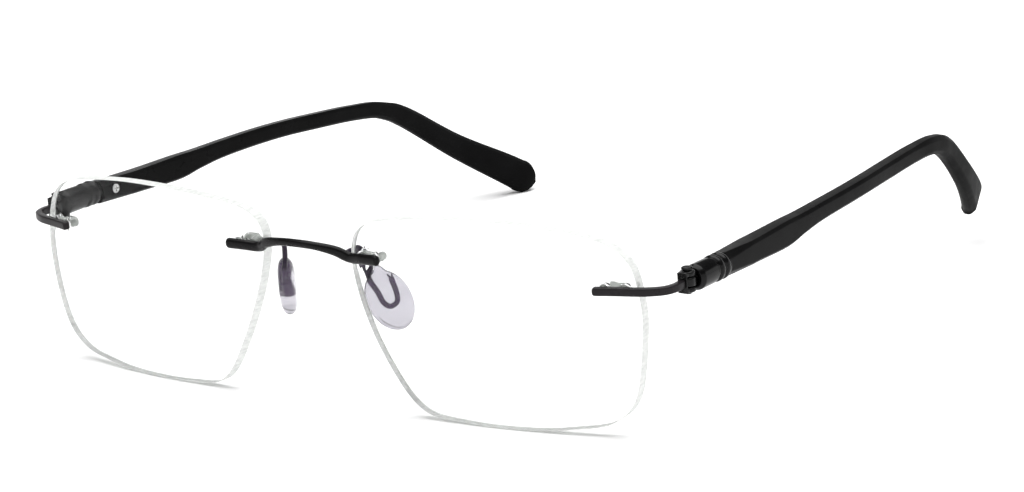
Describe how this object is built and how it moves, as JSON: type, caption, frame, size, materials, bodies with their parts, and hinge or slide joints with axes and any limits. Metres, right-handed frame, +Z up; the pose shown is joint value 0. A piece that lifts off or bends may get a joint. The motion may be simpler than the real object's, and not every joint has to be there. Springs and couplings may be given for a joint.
{
  "type": "rimless eyeglasses",
  "caption": "Rimless eyeglasses: clear drilled lenses on a wire bridge with silicone nose pads, and black temples that fold on upright hinges.",
  "frame": {"origin": "on the surface the glasses stand on, midway between the lenses and midway front to back", "axes": "+X is the wearer's left, the front faces -Y and the open temples run back along +Y, +Z is up"},
  "size_m": [0.1386, 0.1352, 0.0348],
  "materials": {
    "lens": "clear polished lens plastic with a fine-ground edge",
    "clear_plug": "clear, slightly milky plastic",
    "silicone": "clear silicone, faintly violet, satin",
    "black_metal": "semi-gloss black coating",
    "black_gloss": "glossy black",
    "black_satin": "satin black",
    "steel": "bright turned steel"
  },
  "bodies": {
    "front": {"bridge": "black_metal", "lens_left": "lens", "lens_right": "lens", "bridge_plug_left": "clear_plug", "bridge_plug_right": "clear_plug", "endpiece_plug_left": "clear_plug", "endpiece_plug_right": "clear_plug", "pad_arm_left": "black_metal", "pad_arm_right": "black_metal", "nose_pad_left": "silicone", "nose_pad_right": "silicone", "endpiece_left": "black_metal", "endpiece_right": "black_metal", "hinge_fork_left": "black_metal", "hinge_fork_right": "black_metal", "hinge_screw_left": "black_metal", "hinge_screw_right": "black_metal"},
    "left_arm": {"hinge_knuckle_left": "black_metal", "hinge_sleeve_left": "black_gloss", "collar_ring_left": "black_gloss", "temple_left": "black_satin", "temple_screw_left": "steel"},
    "right_arm": {"hinge_knuckle_right": "black_metal", "hinge_sleeve_right": "black_gloss", "collar_ring_right": "black_gloss", "temple_right": "black_satin", "temple_screw_right": "steel"}
  },
  "joints": [
    {"name": "left_temple_fold", "type": "hinge", "parent": "front", "child": "left_arm", "pos_m": [0.067, -0.05206, 0.025], "axis": [0, -0.0084, 1], "range_deg": [0, 84]},
    {"name": "right_temple_fold", "type": "hinge", "parent": "front", "child": "right_arm", "pos_m": [-0.067, -0.05206, 0.025], "axis": [0, 0.0084, -1], "range_deg": [0, 77]}
  ]
}
